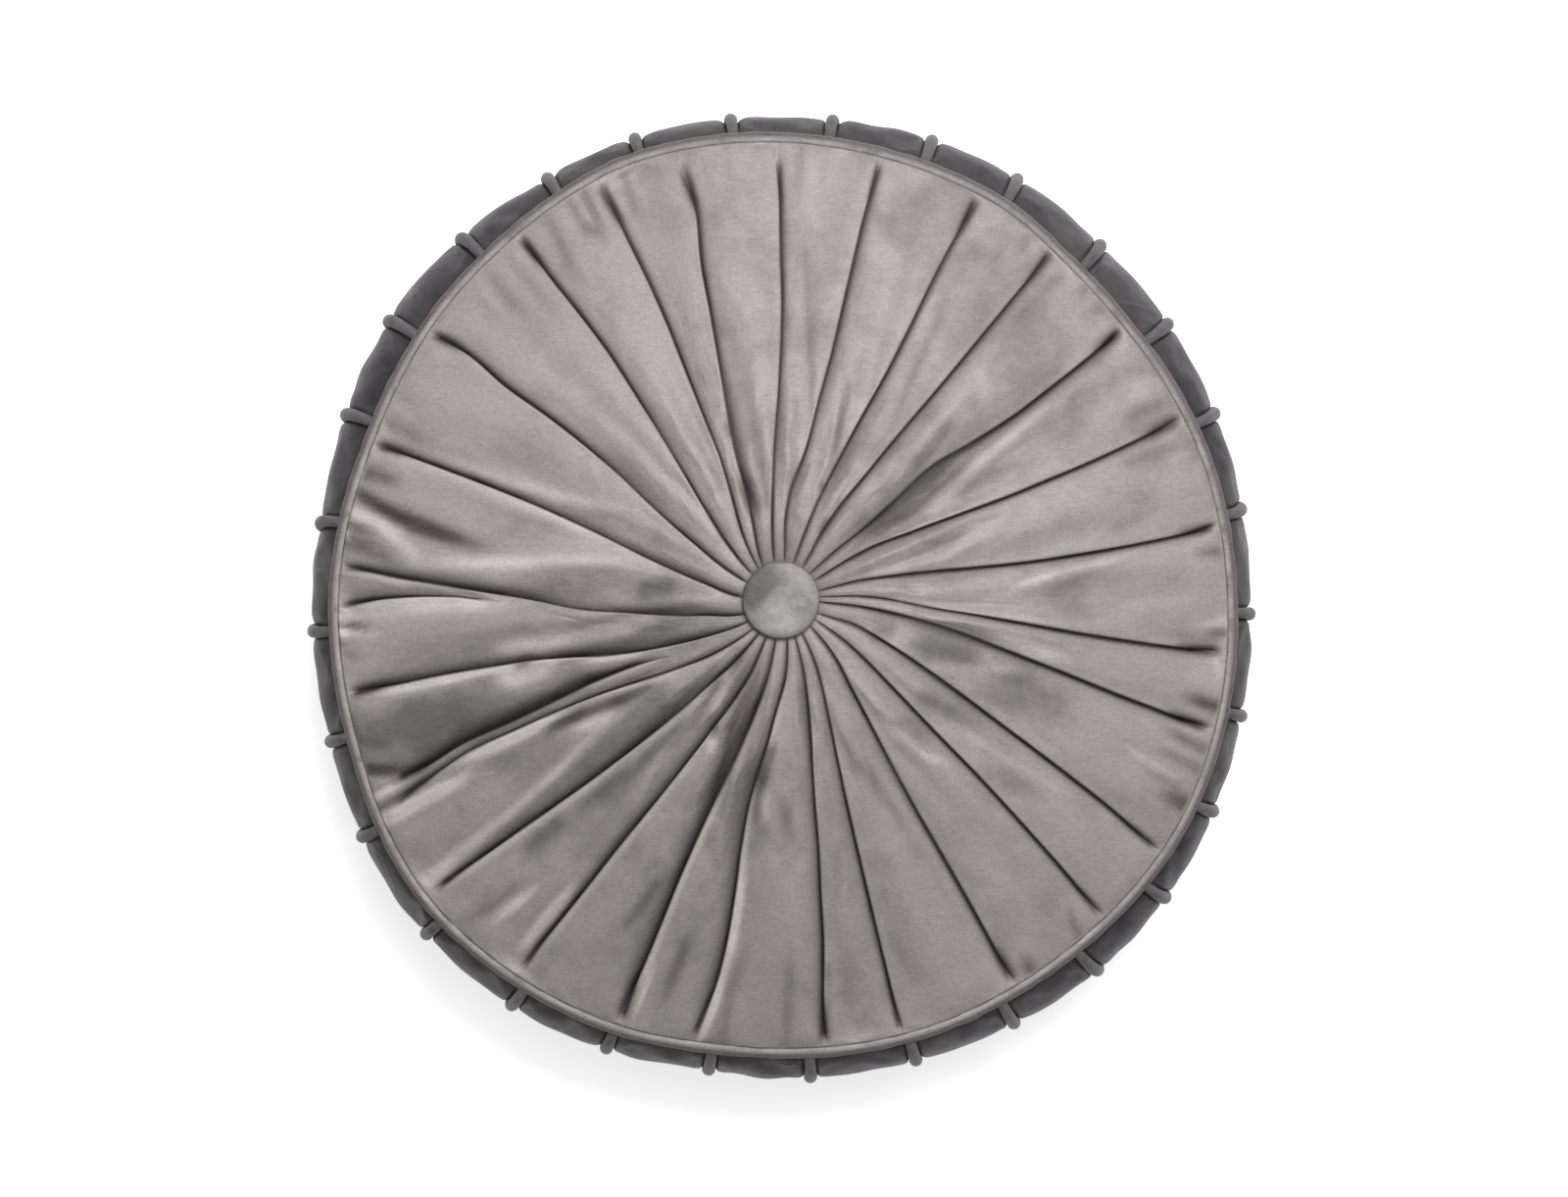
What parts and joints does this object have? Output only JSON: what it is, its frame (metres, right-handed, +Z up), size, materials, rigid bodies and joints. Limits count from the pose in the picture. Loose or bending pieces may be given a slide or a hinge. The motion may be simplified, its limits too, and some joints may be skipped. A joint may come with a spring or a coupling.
{
  "type": "round floor cushion",
  "caption": "Round velvet floor cushion: pleated face gathered under a covered button, deep puffed side wall with upright piped ribs, piped seams and a plain back.",
  "frame": {"origin": "on the floor, under the centre of the button", "axes": "+Z up, square to the back it lies on; +X to the right and +Y away from the viewer who looks down at the face with the largest bulge of the bottom seam at the far side"},
  "size_m": [0.6086, 0.6253, 0.1293],
  "materials": {
    "face_velvet": "grey velvet, crushed nap",
    "seam_piping": "grey velvet over cord",
    "wall_piping": "dark grey velvet over cord",
    "button_velvet": "grey velvet, covered button"
  },
  "bodies": {
    "root": {"cushion": "face_velvet", "top_welt": "seam_piping", "bottom_welt": "seam_piping", "button": "button_velvet", "rib_01": "wall_piping", "rib_02": "wall_piping", "rib_03": "wall_piping", "rib_04": "wall_piping", "rib_05": "wall_piping", "rib_06": "wall_piping", "rib_07": "wall_piping", "rib_08": "wall_piping", "rib_09": "wall_piping", "rib_10": "wall_piping", "rib_11": "wall_piping", "rib_12": "wall_piping", "rib_13": "wall_piping", "rib_14": "wall_piping", "rib_15": "wall_piping", "rib_16": "wall_piping", "rib_17": "wall_piping", "rib_18": "wall_piping", "rib_19": "wall_piping", "rib_20": "wall_piping", "rib_21": "wall_piping", "rib_22": "wall_piping", "rib_23": "wall_piping", "rib_24": "wall_piping", "rib_25": "wall_piping", "rib_26": "wall_piping", "rib_27": "wall_piping", "rib_28": "wall_piping", "rib_29": "wall_piping"}
  },
  "joints": []
}
